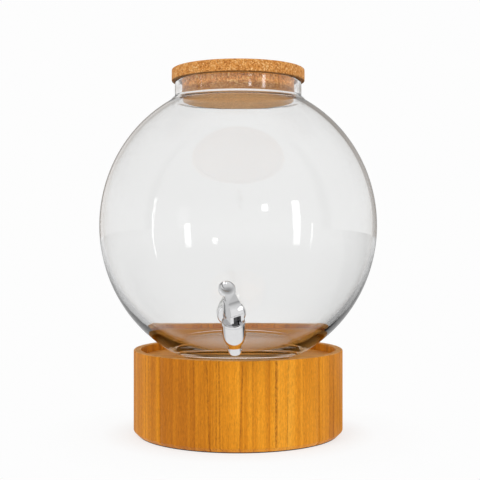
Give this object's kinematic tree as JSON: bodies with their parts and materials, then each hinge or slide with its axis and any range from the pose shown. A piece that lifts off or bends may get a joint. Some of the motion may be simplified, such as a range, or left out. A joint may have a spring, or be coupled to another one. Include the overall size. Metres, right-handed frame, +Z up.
{
  "type": "countertop water dispenser",
  "caption": "Clear glass globe dispenser with a wide neck and cork lid, standing in a coopered wooden ring, with a sprung lever tap low in its front.",
  "frame": {"origin": "on the ground under the middle of the wooden base", "axes": "+Z up along the globe's axis; the tap faces -Y; +X is to the right seen from the front"},
  "size_m": [0.2998, 0.3212, 0.3944],
  "materials": {
    "globe_glass": "clear",
    "stave_wood_a": "satin",
    "stave_wood_b": "satin",
    "stave_wood_c": "satin",
    "panel_wood": "satin",
    "foot_rubber": "matte",
    "lid_cork": "matte",
    "tap_chrome": "polished",
    "steel": "satin",
    "stem_dark": "matte",
    "gasket_rubber": "matte",
    "silicone": "matte",
    "nut_nylon": "matte"
  },
  "bodies": {
    "base": {"stave_01": "stave_wood_a", "stave_02": "stave_wood_b", "stave_03": "stave_wood_c", "stave_04": "stave_wood_a", "stave_05": "stave_wood_b", "stave_06": "stave_wood_c", "stave_07": "stave_wood_a", "stave_08": "stave_wood_b", "stave_09": "stave_wood_c", "stave_10": "stave_wood_a", "stave_11": "stave_wood_b", "stave_12": "stave_wood_c", "base_floor_panel": "panel_wood", "base_foot_ring": "foot_rubber"},
    "globe": {"glass_globe": "globe_glass", "spigot_body": "tap_chrome", "spigot_outer_gasket": "silicone", "spigot_inner_gasket": "silicone", "spigot_slip_washer": "steel", "spigot_lock_nut": "nut_nylon", "valve_bonnet": "tap_chrome", "stem_seal_ring": "gasket_rubber"},
    "lid": {"cork_lid_disc": "lid_cork", "cork_lid_plug": "lid_cork"},
    "swivel": {"valve_spring": "steel", "spring_washer": "steel"},
    "stem": {"valve_stem": "stem_dark", "valve_seal": "gasket_rubber"},
    "lever": {"lever": "tap_chrome", "lever_pivot_pin": "steel"}
  },
  "joints": [
    {"name": "globe_lift", "type": "slide", "parent": "base", "child": "globe", "axis": [0, 0, 1], "range_m": [0, 0.06]},
    {"name": "lid_lift", "type": "slide", "parent": "globe", "child": "lid", "axis": [0, 0, 1], "range_m": [0, 0.08]},
    {"name": "lever_swivel", "type": "hinge", "parent": "globe", "child": "swivel", "pos_m": [-0.00414, -0.14758, 0.12651], "axis": [-0.0461, -0.5315, 0.8458], "range_deg": [-80, 40]},
    {"name": "stem_lift", "type": "slide", "parent": "swivel", "child": "stem", "axis": [-0.0461, -0.5315, 0.8458], "range_m": [0, 0.003], "deforming": ["valve_spring"]},
    {"name": "lever_pivot", "type": "hinge", "parent": "stem", "child": "lever", "pos_m": [-0.00485, -0.15571, 0.13945], "axis": [0.8988, 0.3475, 0.2673], "range_deg": [0, 60], "stiffness_Nm_per_rad": 0.0066, "springref_deg": -99.98}
  ],
  "couplings": [
    {"joint": "stem_lift", "follows": "lever_pivot", "m_per_rad": 0.0028648}
  ]
}
